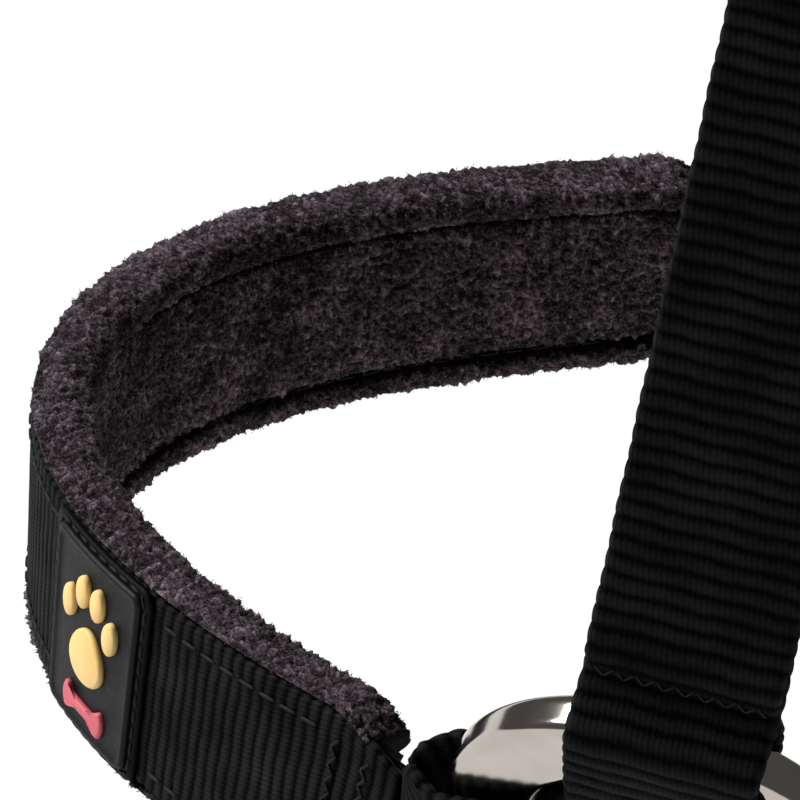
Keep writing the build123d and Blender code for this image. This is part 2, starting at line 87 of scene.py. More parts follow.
# Noseband
BEND = 1.139                     # final turn of each arm, radians
BEND_LEN = 54.345                # length over which the arm turns
BEND_RATE = 0.00041              # slow extra turn along the arm
TILT0, TILT2 = 0.064, -0.21      # lean of the band at the bridge, change along it
RISE = 4.815                     # height gained by each arm
SPAN = 100.0                     # arc length at which TILT2 and RISE are given
BRIDGE_X = -70.0                 # outer face of the band at the bridge of the nose
ARM, ARM_PAST, ARM_STEPS = 96.0, 20.0, 3000  # half length, and how far its curve is summed
ARM_TAPER, ARM_NARROW = 8.0, 0.32  # length of the narrow end, width lost there
STITCH_LIFT = 0.04               # height of the stitches over the webbing
STITCH_FROM, STITCH_TO = 7.0, 9.0  # stitches stop this far before the pad's ends
LABEL_BEFORE, LABEL_AFTER = 2.0, 1.0  # and this far before and after the label
INNER_SINK, INNER_FROM, INNER_TO = 1.15, 9.0, 11.0  # the same rows in the pad's grooves

# Fleece pad
PAD_BACK, PAD_T, PAD_H, PAD_END = -1.72, 5.6, 13.7, 91.0  # back, thickness, half height and length
PAD_FACE = PAD_BACK - PAD_T
PAD_LIP = WEB_W / 2 + 0.25       # height at which the roll passes over the webbing's edge
PAD_TAPER, PAD_NARROW = 7.0, 0.2  # length of the lower end, height lost there
ROLL_FROM, ROLL_SPAN, ROLL_FLAT = 50.0, 28.0, 0.55  # the roll flattens towards the pad's ends
GROOVE_U, GROOVE_DEEP, GROOVE_W = 9.7, 1.9, 0.42  # sewn groove: height, depth, half width
PAD_ROWS, PAD_STEP = 540, 0.36   # mesh rows along the pad, mesh step round its section
TUFTS = ((0.2, 0.3), (0.9, 0.3), (1.9, 0.6))  # waves per mm and height of each tuft size
HIDDEN_BACK, HIDDEN_U, HIDDEN_TUFT = 0.4, 0.4, 0.3  # flatter tufts where the webbing lies
PILE_SKIP = 0.45                 # no fibres this near to the groove
FIBRES = 60000
FIBRE_LEN, FIBRE_HALF = (0.14, 0.34), (0.03, 0.055)  # shortest and longest, thinnest and widest
FIBRE_JITTER, FIBRE_ROOT, FIBRE_SPREAD = 0.36, 0.12, 0.5  # roots' scatter and depth, lean
FIBRE_CURL = ((0.6, 0.1), (0.95, 0.5), (0.75, 1.0))  # height and bend, as shares of its length
FIBRE_SHADING = (0.25, 0.25, 0.6, 0.6, 0.9, 0.9, 1.0)  # from root to tip: painted shade at the root, painted light at the tip

# Label: from s, to s, from u, to u
LABEL = (-57.2, -36.2, -12.6, 12.7)
PANEL = (-55.9, -38.0, -11.6, 11.8)
LABEL_R, PANEL_R, SHARPEST_R = 1.8, 1.4, 0.5  # corner radii, and the smallest further in
FLANGE_FOOT, FLANGE_SIDE, FLANGE_EDGE, FLANGE_TOP = 0.06, 0.55, 0.72, 0.75  # heights
FLANGE_SOFT = 0.15               # width of the flange's softened edge
PANEL_STEPS = ((0.0, 0.7), (0.02, 1.05), (0.15, 1.3), (0.4, 1.42), (0.7, 1.38), (0.95, 1.2),
               (1.15, 1.15), (2.4, 1.15), (5.0, 1.17))  # inset and height: side, rim, middle
LABEL_STITCH, LABEL_STITCH_PART, LABEL_STITCH_LIFT = 2.2, 0.72, 0.8  # pitch, thread's share
MARK_S, MARK_BASE = -47.0, 1.1   # middle of the marks, and height of their foot
PAW_U, PAW_R, PAW_SQUEEZE = -1.2, 3.5, -0.2  # the paw's pad, narrower at its top
TOES = ((-4.5, 3.9), (-1.6, 6.6), (1.6, 6.6), (4.5, 3.9))
TOE_SIZE = (1.25, 2.1)
PAW_TOP, PAW_SOFT = 1.85, 0.28   # top and softened edge of the paw
BONE_U, BONE_HALF, BONE_T, KNOB_T = -8.2, 4.5, 0.62, 1.0  # KNOB_T is what its knobs add
KNOB_FROM, KNOB_SPAN, BONE_BLUNT = 2.3, 1.2, 2.0
BONE_TOP, BONE_SOFT = 1.75, 0.2

# Cheek rings and the loops round them
RING_C = np.array([22.2, -71.0, 18.2])
LEAN = math.radians(27)          # the ring leans outwards at its top
RING_R, RING_A, RING_B = 19.2, 4.8, 2.6  # rod circle, rod half width and half depth
RING_EDGE = 1.5                  # rounding of the rod's four edges
CLEAR, CHIN_CLEAR = 0.6, 1.2     # clearance between the rod and the loops round it
CORNER_CUT = 0.29                # how far an arc passes inside its corner, in radii
TAB_AT, CHIN_AT = math.radians(258), math.radians(124)  # clock angles on the ring
TAB_RUN = (-82.5, -87, -92, -95.5)  # arc lengths of the tab's points
TAB_INNER, TAB_OUTER = -4.2, -2.6  # its two layers
TAB_LEAVE = (27.2, 1.0)          # radius and offset at which the tab leaves its loop
TAB_TACKS = ((-91.5, 8.5), (-87.0, 9.5))  # arc length and half length
TAB_TACK_LIFT = 0.12

# Cheek straps. Their straight run goes from 0 at the ring to 1 at the top
STRAP_X, LEAN_X = 23.3, 0.063    # middle at the ring, lean to +X per mm of height
STRAP_TOP = (-82.6, 146.0)
STRAP_FOOT = RING_R + RING_A + CLEAR + WEB_T + 0.4  # radius at which the strap leaves its loop
STRAP_BELOW = 7.0                # how far the lean goes on below that
STRAP_END, STRAP_END_IN = (0.2, 0.15, 0.1, 0.06, 0.035), 1.6  # sewn end, behind the run
STRAP_IN, STRAP_OUT = (0.6, -1.0), (0.4, 1.0)  # below STRAP_FOOT and offset, loop's two ends
LOOP_SHIFT = 0.7                 # the strap isn't in line with the ring's centre
STRAP_BULGE = ((0.012, 0.15), (0.03, 0.7), (0.042, 0.1), (0.058, -0.55), (0.08, -0.4),
               (0.12, 0.0), (0.3, 0.0), (0.6, 0.0), (0.97, 0.0))  # place and shift inwards
TUNNEL = (STRAP_TOP, (-82.6, 152), (-82.6, 160), (-82.6, 168), (-82.3, 170.6), (-80.0, 171.6),
          (-77.8, 170.6), (-77.5, 168), (-77.5, 160), (-77.6, 152.5), (-78.9, 149.3),
          (-80.7, 147.2), (-81.0, 144.8))  # y, z of the fold over the neck strap
CHEEK_TACK, CHEEK_TACK_IN, CHEEK_TACK_HALF = 0.032, -0.22, 9.2  # place, shift, half length

# Neck strap, in plan
NECK_CX, NECK_HX, NECK_HY, NECK_R = 28.0, 62.0, 80.0, 34.0  # middle, half sizes, corner
NECK_Z = 160.0
NAPE_X, THROAT_X = NECK_CX - NECK_HX, NECK_CX + NECK_HX
NECK_START, NECK_ARC = (31, 38), np.radians(np.arange(0, 91, 15))  # beside the buckle, corner
LEFT_END, RIGHT_END, THROAT_IN = 38.0, 6.0, 1.8  # at the throat, the right strap lies inside
BUCKLE_X, BAR_Y = NAPE_X + 0.8, 25.75  # buckle's middle, and its bars
FOLD_IN, FOLD_RUN = 1.65, (46, 38, 32)  # webbing end sewn inside the neck strap
BAR_TURN = ((2.7, 2.4), (2.9, 0), (2.0, -2.2), (0, -2.6), (-2.0, -2.2), (-2.9, 0), (-2.6, 2.4))
GLIDE_X = THROAT_X - 3.8         # middle of the slider's first bar
GLIDE_TURN = ((2.0, 1.0), (1.7, -2.2), (0, -3.0), (-1.7, -2.2), (-2.0, 0.0), (-1.6, 2.3),
              (-0.2, 3.1), (0.5, 5.0), (0.45, 9.0))
NECK_TACKS, NECK_TACK_OUT, NECK_TACK_HALF = (33.0, 43.5), 0.85, 8.4

# Chin strap, lead tab and lead ring
CHIN_X, CHIN_Z = 84.0, -12.0
CHIN_LINE = ((56.5, -60.6, -1.6), (66.5, -52.5, -6.2), (74.5, -41.0, -9.4),
             (80.2, -28.0, -11.2), (83.2, -15.0, CHIN_Z), (CHIN_X, -7.0, CHIN_Z),
             (CHIN_X, 0.0, CHIN_Z))
CHIN_TWIST = 4                   # points over which the strap turns upright
CHIN_END, CHIN_END_IN = (5.5, 3.5, 1), -1.5  # sewn end, past STRAP_FOOT and behind
CHIN_LEAVE = ((0.6, 1.0), (4.5, 0.0))  # past STRAP_FOOT and offset, leaving the loop
CHIN_TACKS, CHIN_TACK_OUT, CHIN_TACK_HALF = (3.0, 9.5), 0.95, 8.0
LEAD_X, LEAD_RUN = 1.75, (1, -5, -11)  # the tab's two layers and their heights
EYE_Z, EYE_R = CHIN_Z - 17.4, 4.2  # eye of the tab
EYE_ARC = np.radians([50, 20, -20, -55, -90, -125, -160, -200, -230])
LEAD_TACK_X, LEAD_TACK_Z, LEAD_TACK_HALF = 2.75, (-1.5, -7.5), 3.9
LEAD_R, LEAD_ROD = 11.25, 1.75   # circle and half thickness of the lead ring's rod

# Moulded and metal parts: width of their softened edges, and angles in degrees
HARD_SOFT, THIN_SOFT, PRONG_SOFT, SOFT_STEPS = 0.45, 0.35, 0.3, 3
FLAT_UNDER, SOFT_OVER, SHARP_OVER = 2, 35, 40  # faces to join, edges to soften, edges to show

# Stage, light and camera, in metres and degrees
FLOOR_DROP, FLOOR_HALF = 0.12, 6.0
ROOM_LIGHT, KEY_LIGHT, KEY_WIDTH = 0.11, 4.6, 28
KEY_WAY = (0.78, -0.02, -0.72)
CAMERA_AIM = (-0.0298, 0.0, 0.015)
CAMERA_AZIMUTH, CAMERA_ELEVATION, CAMERA_ROLL = 13.87, 33.1, 7.06
CAMERA_DISTANCE, CAMERA_LENS = 0.977, 391.5


# ---------------------------------------- curves

def arm_curve(s):
    """Plan x, y and turn of the noseband's outer face at arc lengths s."""
    s = np.asarray(s, float)
    fine = np.linspace(0, ARM + ARM_PAST, ARM_STEPS)
    turn = BEND * np.tanh(fine / BEND_LEN) + BEND_RATE * fine
    step = fine[1] - fine[0]
    x = np.concatenate([[0], np.cumsum((np.sin(turn[1:]) + np.sin(turn[:-1])) / 2 * step)])
    y = np.concatenate([[0], np.cumsum((np.cos(turn[1:]) + np.cos(turn[:-1])) / 2 * step)])
    a, k = np.abs(s), np.where(s >= 0, 1.0, -1.0)
    return np.interp(a, fine, x), np.interp(a, fine, y) * k, np.interp(a, fine, turn) * k


def band_point(s, o, u):
    """Points at arc length s, o out from the band's outer face, u up the band."""
    s, o, u = np.broadcast_arrays(np.asarray(s, float), o, u)
    x, y, t = arm_curve(s)
    nx, ny = -np.cos(t), np.sin(t)
    lean = TILT0 + TILT2 * (s / SPAN) ** 2
    side = o * np.cos(lean) + u * np.sin(lean)
    return np.stack([BRIDGE_X + x + side * nx, y + side * ny,
                     RISE * (s / SPAN) ** 2 - o * np.sin(lean) + u * np.cos(lean)], -1)


def ring_point(angle, r, d):
    """Points by clock angle (radians from the top), radius and offset along the ring's normal."""
    angle, r, d = np.broadcast_arrays(np.asarray(angle, float), r, d)
    v = r * np.cos(angle)
    c, s = math.cos(LEAN), math.sin(LEAN)
    return np.stack([RING_C[0] + r * np.sin(angle), RING_C[1] - v * s - d * c,
                     RING_C[2] + v * c - d * s], -1)


def unit(v):
    """Vectors of length 1 along v."""
    v = np.asarray(v, float)
    return v / (np.linalg.norm(v, axis=-1, keepdims=True) + 1e-12)


def spline(points, step):
    """Even points along a smooth curve through points; extra columns ride along."""
    p = np.asarray(points, float)
    p = np.vstack([2 * p[0] - p[1], p, 2 * p[-1] - p[-2]])
    t = np.linspace(0, 1, 40, endpoint=False)[:, None]
    out = []
    for a, b, c, d in zip(p, p[1:], p[2:], p[3:]):
        out.append(0.5 * (2 * b + (c - a) * t + (2 * a - 5 * b + 4 * c - d) * t ** 2
                          + (3 * b - a - 3 * c + d) * t ** 3))
    return even(np.vstack(out + [p[-2:-1]]), step)


def even(points, step):
    """The same line with its points spaced evenly; distance uses up to three columns."""
    p = np.asarray(points, float)
    length = np.concatenate([[0], np.cumsum(np.linalg.norm(np.diff(p[:, :3], axis=0), axis=1))])
    n = max(int(round(length[-1] / step)), 2) + 1
    at = np.linspace(0, length[-1], n)
    return np.stack([np.interp(at, length, p[:, k]) for k in range(p.shape[1])], -1)


def smooth(x):
    """Soft step from 0 to 1."""
    x = np.clip(x, 0, 1)
    return x * x * (3 - 2 * x)


# ---------------------------------------- meshes

def mesh_object(name, verts, faces, uv=None):
    """Object in metres from points in mm, with an optional UV in metres for each point."""
    mesh = bpy.data.meshes.new(name)
    mesh.from_pydata((np.asarray(verts) * MM).tolist(), [], faces)
    mesh.update()
    if uv is not None:
        layer = mesh.uv_layers.new(name="UVMap")
        index = np.empty(len(mesh.loops), int)
        mesh.loops.foreach_get("vertex_index", index)
        layer.data.foreach_set("uv", np.asarray(uv)[index].ravel())
    obj = bpy.data.objects.new(name, mesh)
    bpy.context.scene.collection.objects.link(obj)
    mesh.shade_smooth()
    return obj


def grid_faces(rows, cols, start=0):
    """Quads between rows of points, each row a closed loop."""
    r = np.arange(rows - 1)[:, None]
    c = np.arange(cols)[None, :]
    n = (c + 1) % cols
    quads = np.stack([r * cols + c, r * cols + n, (r + 1) * cols + n, (r + 1) * cols + c], -1)
    return (quads.reshape(-1, 4) + start).tolist()


def sheet_normals(grid):
    """Unit normals of a grid of points."""
    return unit(np.cross(np.gradient(grid, axis=0), np.gradient(grid, axis=1)))


def tube_faces(rows, cols, start=0):
    """The same quads, and a face at each end."""
    last = start + (rows - 1) * cols
    ends = [[start + k for k in range(cols)], [last + k for k in range(cols)][::-1]]
    return grid_faces(rows, cols, start) + ends


def width_steps(width, cols):
    """Positions across a strap, closer together at its edges."""
    a = np.linspace(-1, 1, cols)
    return width / 2 * ((1 - EDGE_CROWD) * a + EDGE_CROWD * np.sin(a * math.pi / 2))


def rib_phase(run, w, pitch):
    """Ribs passed at each point, run along the strap and w across it. The ribs stray a little."""
    slow = WANDER_SLOW * np.sin(w * 0.8 + 3 * np.sin(run * 0.11))
    fine = WANDER_FINE * np.sin(w * 2.3 + run * 0.7)
    return run / pitch + slow + fine


def rib_body(wave, phase, w, width, rib):
    """Half thickness at each point: a flat strap with rounded edges, and ribs on both faces."""
    count = np.floor(phase)
    power = 1 + UNEVEN_RIBS * np.sin(count * 2.4) + UNEVEN_ALONG * np.sin(w * 1.3 + count)
    edge = np.clip((width / 2 - np.abs(w)) / EDGE_ROUND, 0, 1)
    half = (WEB_T - RIB_ROOM) / 2 * np.sqrt(1 - (1 - edge) ** 2 + 1e-9)
    return np.maximum(half + (wave - RIB_FULL) * power * rib * smooth(edge), 0.0)


def rib_edge(wave, run, w, width):
    """How far each point moves across the strap, so that the edges show the ribs' ends."""
    rim = smooth((np.abs(w) - width * EDGE_FROM) / (width * EDGE_SPAN))
    return (wave * EDGE_TOOTH - EDGE_IN + EDGE_WAVE * np.sin(run * 0.5)) * rim * np.sign(w)


def webbing(name, surface, rows, width, pitch, rib=RIB_H, cols=23):
    """Ribbed webbing round a centre surface.

    surface(rows, w) gives a grid of points for positions w across the strap. Ribs run across it."""
    w = width_steps(width, cols)[None, :]
    grid = surface(rows, w[0])
    steps = np.linalg.norm(np.diff(grid[:, cols // 2], axis=0), axis=1)
    run = np.concatenate([[0], np.cumsum(steps)])[:, None]
    phase = rib_phase(run, w, pitch)
    wave = np.abs(np.sin(math.pi * phase)) ** RIB_FULL
    body = rib_body(wave, phase, w, width, rib)[..., None]
    across = unit(np.gradient(grid, axis=1))
    normal = sheet_normals(grid)
    grid = grid + across * rib_edge(wave, run, w, width)[..., None]
    ring = np.concatenate([grid + normal * body, (grid - normal * body)[:, -2:0:-1]], axis=1)
    n, m = ring.shape[:2]
    across_uv = np.concatenate([w, w[:, -2:0:-1]], axis=1) + 0 * run
    along_uv = np.concatenate([phase, phase[:, -2:0:-1]], axis=1) * pitch
    uv = np.stack([along_uv, across_uv], -1).reshape(-1, 2)
    return mesh_object(name, ring.reshape(-1, 3), tube_faces(n, m), uv * MM)


def strap(name, points, wides, width, pitch, rib=RIB_H, cols=23):
    """Webbing whose centre line passes through points, its width lying along wides."""
    line = spline(np.hstack([points, np.asarray(wides)]), pitch / ROWS_PER_RIB)

    def surface(rows, w):
        return rows[:, None, :3] + unit(rows[:, 3:])[:, None, :] * w[None, :, None]
    return webbing(name, surface, line, width, pitch, rib, cols)


def stitches(name, runs, body, *nodes):
    """Rows of separate rounded stitches; each run is a list of (start, end) points in mm."""
    verts, faces = [], []
    for start, end in runs:
        start, end = np.asarray(start), np.asarray(end)
        axis = end - start
        side = unit(np.cross(axis, NO_STITCH_WAY))
        other = unit(np.cross(axis, side))
        base = len(verts)
        for place, size in STITCH_SHAPE:
            for k in range(STITCH_SIDES):
                a = 2 * math.pi * k / STITCH_SIDES
                verts.append(start + axis * place
                             + THREAD_R * size * (side * math.cos(a) + other * math.sin(a)))
        faces += tube_faces(len(STITCH_SHAPE), STITCH_SIDES, base)
    return settle(mesh_object(name, verts, faces), body, "thread", THREAD, *nodes)


def bar_tack(centre, wide, tall, half, height=TACK_H, count=17):
    """Dense zigzag of stitches across a strap."""
    runs = []
    for k in range(count):
        a, b = (k / count * 2 - 1) * half, ((k + 1) / count * 2 - 1) * half
        sign = 1 if k % 2 else -1
        runs.append((centre + wide * a - tall * sign * height / 2,
                     centre + wide * b + tall * sign * height / 2))
    return runs


def along_band(o, u, s1, s2):
    """Stitches along the noseband at offset o and height u."""
    runs = []
    for s in np.arange(s1, s2, STITCH + STITCH_GAP):
        runs.append((band_point(s, o, u), band_point(s + STITCH, o, u)))
    return runs


def both_sides(runs):
    """The stitches, and the same ones on the dog's right side."""
    return runs + [(a * FLIP_Y, b * FLIP_Y) for a, b in runs]


def settle(obj, body, slot, material, *nodes):
    """Fix normals, give the material, parent the piece to its body and hide the CAD nodes it stands
    for; slot is not used.
    """
    fix_normals(obj)
    obj.data.materials.clear()
    obj.data.materials.append(material)
    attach(obj, body)
    if nodes:
        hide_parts(*nodes)
    return obj


def to_right(name):
    """The name of the same thing on the dog's right side."""
    return name.replace("left", "right")


def settle_pair(left, body, slot, material, node):
    """Settle a left piece and its mirror image."""
    mesh = left.data.copy()
    mesh.transform(Matrix.Scale(-1, 4, Y_WAY))
    mesh.flip_normals()
    mesh.name = to_right(left.name)
    right = bpy.data.objects.new(mesh.name, mesh)
    bpy.context.scene.collection.objects.link(right)
    settle(left, body, slot, material, node)
    settle(right, to_right(body), slot, material, to_right(node))


def fix_normals(obj):
    """All faces outwards."""
    bm = bmesh.new()
    bm.from_mesh(obj.data)
    bmesh.ops.recalc_face_normals(bm, faces=bm.faces)
    bm.to_mesh(obj.data)
    bm.free()


# ---------------------------------------- materials

class Nodes:
    """Short way to write a material's node tree."""

    def __init__(self, name):
        self.material = bpy.data.materials.new(name)
        self.material.use_nodes = True
        self.tree = self.material.node_tree
        self.shader = self.tree.nodes["Principled BSDF"]

    def add(self, kind, inputs=None, **settings):
        """New node. An input is a value, or a socket to link from."""
        node = self.tree.nodes.new(kind)
        for key, value in settings.items():
            setattr(node, key, value)
        for key, value in (inputs or {}).items():
            if isinstance(value, bpy.types.NodeSocket):
                self.tree.links.new(value, node.inputs[key])
            else:
                node.inputs[key].default_value = value
        return node

    def math(self, operation, a, b=0.0, c=0.0):
        """Output of a Math node."""
        return self.add("ShaderNodeMath", {0: a, 1: b, 2: c}, operation=operation).outputs[0]

    def ramp(self, factor, stops):
        """Colour of factor between stops, each a place and a colour."""
        node = self.add("ShaderNodeValToRGB", {"Fac": factor})
        while len(node.color_ramp.elements) < len(stops):
            node.color_ramp.elements.new(0.5)
        for element, (place, colour) in zip(node.color_ramp.elements, stops):
            element.position = place
            element.color = (*colour, 1)
        return node.outputs["Color"]

    def noise(self, vector, scale, detail=2.0, rough=0.5):
        """Output of a Noise Texture node, its scale per metre."""
        return self.add("ShaderNodeTexNoise", {"Vector": vector, "Scale": scale, "Detail": detail,
                                               "Roughness": rough}).outputs["Fac"]

    def link(self, output, name):
        """Link an output to an input of the shader."""
        self.tree.links.new(output, self.shader.inputs[name])

    def bump(self, height, strength, distance):
        """Roughen the shader's surface by height, distance being in metres."""
        node = self.add("ShaderNodeBump", {"Strength": strength, "Distance": distance,
                                           "Height": height})
        self.link(node.outputs["Normal"], "Normal")

    def set(self, **values):
        """Set inputs of the shader to constants, with _ for a space in a name."""
        for key, value in values.items():
            self.shader.inputs[key.replace("_", " ")].default_value = value


def webbing_material(name, pitch, dark, light):
    """Ribbed nylon: painted shade between the ribs and a painted highlight on their tops, with short
    slanted yarns along each rib.
    """
    n = Nodes(name)
    uv = n.add("ShaderNodeUVMap", uv_map="UVMap").outputs[0]
    split = n.add("ShaderNodeSeparateXYZ", {0: uv})
    along, across = split.outputs[0], split.outputs[1]
    # rib paints light and shade: lighter on each rib's top as a painted highlight, darker in the
    # grooves between ribs as painted shade
    rib = n.math("ABSOLUTE", n.math("SINE", n.math("MULTIPLY", along, math.pi / (pitch * MM))))
    slant = n.math("ADD", n.math("MULTIPLY", across, 2 * math.pi / (YARN * MM)),
                   n.math("MULTIPLY", along, math.pi / (pitch * MM)))
    yarn = n.math("MULTIPLY_ADD", n.math("SINE", slant), 0.5, 0.5)
    point = n.add("ShaderNodeTexCoord").outputs["Object"]
    fuzz = n.noise(point, 2600, 3)
    broad = n.noise(point, 140, 4)
    tone = n.math("MULTIPLY_ADD", yarn, 0.16, n.math("MULTIPLY", rib, 0.5))
    tone = n.math("ADD", tone, n.math("MULTIPLY", fuzz, 0.3))
    tone = n.math("MULTIPLY", tone, n.math("MULTIPLY_ADD", broad, 1.1, 0.42))
    n.link(n.ramp(tone, [(0.34, dark), (0.92, light)]), "Base Color")
    height = n.math("ADD", n.math("MULTIPLY", yarn, 0.5), n.math("MULTIPLY", fuzz, 0.5))
    n.bump(height, 0.4, 0.00018)
    n.link(n.math("MULTIPLY_ADD", fuzz, 0.25, 0.55), "Roughness")
    n.set(Specular_IOR_Level=0.03)
    return n.material


def fleece_material(name, dark, light):
    """Matt pile with painted shade between its tufts and painted light on their tips."""
    n = Nodes(name)
    point = n.add("ShaderNodeTexCoord").outputs["Object"]
    # pile is painted shade and light baked on the meshes: darker in hollows, at fibre roots and in the
    # sewn groove, lighter on tufts and fibre tips
    pile = n.add("ShaderNodeAttribute", attribute_name="pile").outputs["Fac"]
    tuft = n.noise(point, 2600, 3, 0.65)
    patch = n.noise(point, 300, 3)
    # tuft, which is also the bump, paints the tufts' raised tops lighter as painted light; patch is a
    # random tone
    tone = n.math("ADD", n.math("MULTIPLY", pile, 0.42), n.math("MULTIPLY", tuft, 0.75))
    tone = n.math("ADD", tone, n.math("MULTIPLY", patch, 0.08))
    middle = tuple(0.75 * a + 0.25 * b for a, b in zip(dark, light))
    n.link(n.ramp(tone, [(0.5, dark), (0.66, middle), (0.86, light)]), "Base Color")
    n.bump(tuft, 0.7, 0.0003)
    n.set(Roughness=0.95, Specular_IOR_Level=0.05, Sheen_Weight=0.06, Sheen_Roughness=0.7,
          Sheen_Tint=(0.85, 0.72, 0.80, 1))
    return n.material


def rubber_material(name, colour, lighter, rough, grain=0.00006, gloss=0.4):
    """Moulded rubber, plastic, foam or thread with a fine grain and slightly uneven gloss."""
    n = Nodes(name)
    point = n.add("ShaderNodeTexCoord").outputs["Object"]
    fine = n.noise(point, 2200, 3)
    broad = n.noise(point, 120, 3)
    n.link(n.ramp(broad, [(0.3, colour), (0.75, lighter)]), "Base Color")
    n.link(n.math("MULTIPLY_ADD", fine, 0.22, rough - 0.1), "Roughness")
    n.bump(fine, 0.5, grain)
    n.set(Specular_IOR_Level=gloss)
    return n.material


def nickel_material(name):
    """Polished nickel plate, a little warm, with faint smears and fine scratches."""
    n = Nodes(name)
    point = n.add("ShaderNodeTexCoord").outputs["Object"]
    smear = n.noise(point, 160, 4)
    stretched = n.add("ShaderNodeMapping", {"Vector": point, "Scale": (1, 1, 14)}).outputs[0]
    scratch = n.noise(stretched, 900, 2)
    tone = n.ramp(smear, [(0.3, (0.44, 0.40, 0.36)), (0.75, (0.53, 0.49, 0.45))])
    n.link(tone, "Base Color")
    n.link(n.math("MULTIPLY_ADD", smear, 0.1, 0.06), "Roughness")
    n.bump(scratch, 0.12, 0.00003)
    n.set(Metallic=1.0)
    return n.material


# Each webbing's dark end is mostly the painted shade between its ribs, its light end mostly the
# painted highlight on their tops
BLACK_WEB = webbing_material("black_webbing", RIB_BAND, (0.0005, 0.0005, 0.0006),
                             (0.019, 0.019, 0.0194))
STRAP_WEB = webbing_material("black_strap", RIB_STRAP, (0.0002, 0.0002, 0.0003),
                             (0.0125, 0.0125, 0.0128))
THIN_WEB = webbing_material("black_thin", RIB_THIN, (0.0005, 0.0005, 0.0006),
                            (0.017, 0.017, 0.0174))
FLEECE = fleece_material("charcoal_fleece", (0.001, 0.0007, 0.0009), (0.24, 0.178, 0.214))
LABEL_RUBBER = rubber_material("label_rubber", (0.004, 0.004, 0.005), (0.009, 0.009, 0.0105),
                               0.5, gloss=0.14)
# The flange's rubber is darker than the panel's as painted shade, where the flange lies low round the
# raised panel
SHADED_FLANGE_RUBBER = rubber_material("label_flange", (0.0015, 0.0015, 0.002), (0.004, 0.004, 0.0045),
                                0.6, gloss=0.08)
YELLOW = rubber_material("yellow_rubber", (0.80, 0.52, 0.17), (0.90, 0.62, 0.24), 0.5)
CORAL = rubber_material("coral_rubber", (0.56, 0.09, 0.12), (0.68, 0.14, 0.17), 0.5)
PLASTIC = rubber_material("black_plastic", (0.005, 0.005, 0.0055), (0.010, 0.010, 0.0105),
                          0.42, 0.0001, 0.3)
KEEPER = rubber_material("keeper_rubber", (0.006, 0.006, 0.0065), (0.012, 0.012, 0.0125),
                         0.6, gloss=0.2)
FOAM = rubber_material("pad_foam", (0.04, 0.04, 0.044), (0.06, 0.06, 0.065), 0.9, 0.0002)
THREAD = rubber_material("black_thread", (0.002, 0.002, 0.0022), (0.009, 0.009, 0.0095),
                         0.65, 0.0001, 0.2)
NICKEL = nickel_material("nickel_plate")


# ---------------------------------------- noseband

def pad_foam():
    """The foam keeps its CAD shape."""
    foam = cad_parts["noseband_foam"]
    foam.data.materials.clear()
    foam.data.materials.append(FOAM)


def noseband_webbing():
    """Webbing with narrow ends, and stitches along the pad's grooves on both sides."""
    def surface(rows, w):
        shrink = 1 - ARM_NARROW * np.clip((np.abs(rows) - (ARM - ARM_TAPER)) / ARM_TAPER, 0, 1)
        return band_point(rows[:, None], -WEB_T / 2, w[None, :] * shrink[:, None])
    rows = np.linspace(-ARM, ARM, int(2 * ARM / RIB_BAND * ROWS_PER_RIB))
    obj = webbing("nose_webbing", surface, rows, WEB_W, RIB_BAND, RIB_H, 27)
    settle(obj, "noseband", "webbing", BLACK_WEB, "noseband_webbing")
    runs = []
    for u in (-GROOVE_U, GROOVE_U):
        runs += along_band(STITCH_LIFT, u, -PAD_END + STITCH_FROM, LABEL[0] - LABEL_BEFORE)
        runs += along_band(STITCH_LIFT, u, LABEL[1] + LABEL_AFTER, PAD_END - STITCH_TO)
        runs += along_band(PAD_FACE + INNER_SINK, u, -PAD_END + INNER_FROM, PAD_END - INNER_TO)
    stitches("pad_stitching", runs, "noseband")


def pad_section():
    """Closed section of the fleece pad: rolled edges over the webbing, and a sewn groove."""
    upper = [(PAD_BACK, 6), (PAD_BACK, PAD_LIP - 0.6), (-1.3, PAD_LIP - 0.1), (-0.4, PAD_LIP),
             (-0.1, PAD_LIP + 0.35), (-0.9, PAD_H - 0.3), (-2.6, PAD_H), (-4.8, PAD_H - 0.1),
             (-6.7, PAD_H - 0.9), (PAD_FACE, PAD_H - 2.4), (PAD_FACE + 0.3, GROOVE_U + 0.6),
             (PAD_FACE + GROOVE_DEEP, GROOVE_U), (PAD_FACE + 0.8, GROOVE_U - 0.65),
             (PAD_FACE + 0.5, GROOVE_U - 3), (PAD_FACE + 0.2, 3)]
    loop = upper + [(o, -u) for o, u in reversed(upper)]
    return even(spline(loop + loop[:1], 0.05), PAD_STEP)[:-1]


def pad_grid(section):
    """Smooth pad as rows of points round its section, and their normals."""
    s = np.linspace(-PAD_END, PAD_END, PAD_ROWS)[:, None]
    shrink = 1 - PAD_NARROW * np.clip((np.abs(s) - (PAD_END - PAD_TAPER)) / PAD_TAPER, 0, 1) ** 2
    flat = ROLL_FLAT * smooth((np.abs(s) - ROLL_FROM) / ROLL_SPAN)
    o, u = section[None, :, 0], section[None, :, 1]
    over = np.maximum(np.abs(u) - PAD_LIP, 0)
    u = np.sign(u) * (np.abs(u) - over * flat) * shrink
    grid = band_point(s, o, u)
    around = np.roll(grid, -1, 1) - np.roll(grid, 1, 1)
    normal = unit(np.cross(np.gradient(grid, axis=0), around))
    row = PAD_ROWS // 2
    outwards = grid[row, 0] - band_point(s[row, 0], PAD_BACK - PAD_T / 2, 0.0)
    return grid, normal if outwards @ normal[row, 0] > 0 else -normal


